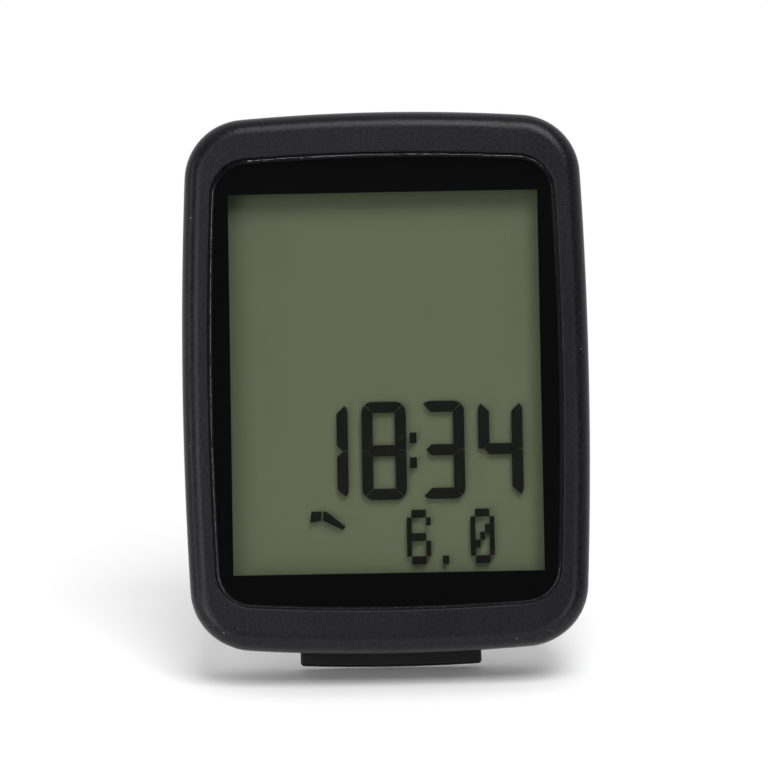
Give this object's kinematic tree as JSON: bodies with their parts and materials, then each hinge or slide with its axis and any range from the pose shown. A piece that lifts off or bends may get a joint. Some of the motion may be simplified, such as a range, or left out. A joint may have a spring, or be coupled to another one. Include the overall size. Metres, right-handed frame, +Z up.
{
  "type": "cycling computer",
  "caption": "Handlebar cycling computer: moulded case with bowed sides, reflective display behind a lens, sprung operating bar, bayonet battery cover and twist-lock foot.",
  "frame": {"origin": "centre of the twist-lock foot's rear face, on the axis of the foot and of the battery cover", "axes": "+Z up the display, +X to the right as seen from the front, +Y out of the back along the foot's axis; the display faces -Y"},
  "size_m": [0.045, 0.0165, 0.0614],
  "materials": {
    "shell_black": "fine moulded texture",
    "bar_black": "satin",
    "lens_clear": "polished clear plastic",
    "mask_black": "black print",
    "cell_glass": "clear glass",
    "film_grey": "polarizing film",
    "reflector_green": "satin reflective film",
    "tray_white": "moulded",
    "zebra_rubber": "layered conductive rubber",
    "seal_rubber": "matte",
    "board_green": "solder mask",
    "chip_epoxy": "cast epoxy",
    "steel": "nickel plated",
    "ferrite": "sintered",
    "copper_wire": "enamelled wire",
    "spring_brass": "nickel plated spring strip",
    "switch_plastic": "moulded",
    "plunger_white": "moulded"
  },
  "bodies": {
    "housing": {"front_housing": "shell_black", "rear_housing": "shell_black", "housing_gasket": "seal_rubber", "display_lens": "lens_clear", "lens_mask": "mask_black", "lcd_polarizer": "film_grey", "lcd_front_glass": "cell_glass", "lcd_rear_glass": "cell_glass", "lcd_reflector": "reflector_green", "lcd_tray": "tray_white", "zebra_strip": "zebra_rubber", "circuit_board": "board_green", "controller_chip": "chip_epoxy", "clock_crystal": "steel", "receiver_core": "ferrite", "receiver_winding": "copper_wire", "coin_cell": "steel", "negative_contact": "spring_brass", "positive_contact": "spring_brass", "mode_switch": "switch_plastic", "housing_screw_1": "steel", "housing_screw_2": "steel", "housing_screw_3": "steel", "housing_screw_4": "steel"},
    "button": {"mode_button": "bar_black", "button_seal": "seal_rubber"},
    "plunger": {"switch_plunger": "plunger_white"},
    "cover": {"battery_cover": "shell_black", "cover_seal": "seal_rubber"}
  },
  "joints": [
    {"name": "button_press", "type": "slide", "parent": "housing", "child": "button", "axis": [0, 0, 1], "range_m": [0, 0.0006], "stiffness_N_per_m": 1500},
    {"name": "plunger_press", "type": "slide", "parent": "housing", "child": "plunger", "axis": [0, 0, 1], "range_m": [0, 0.0006]},
    {"name": "cover_turn", "type": "hinge", "parent": "housing", "child": "cover", "pos_m": [0, 0, 0], "axis": [0, 1, 0], "range_deg": [0, 60]}
  ],
  "couplings": [
    {"joint": "plunger_press", "follows": "button_press", "ratio": 1}
  ]
}
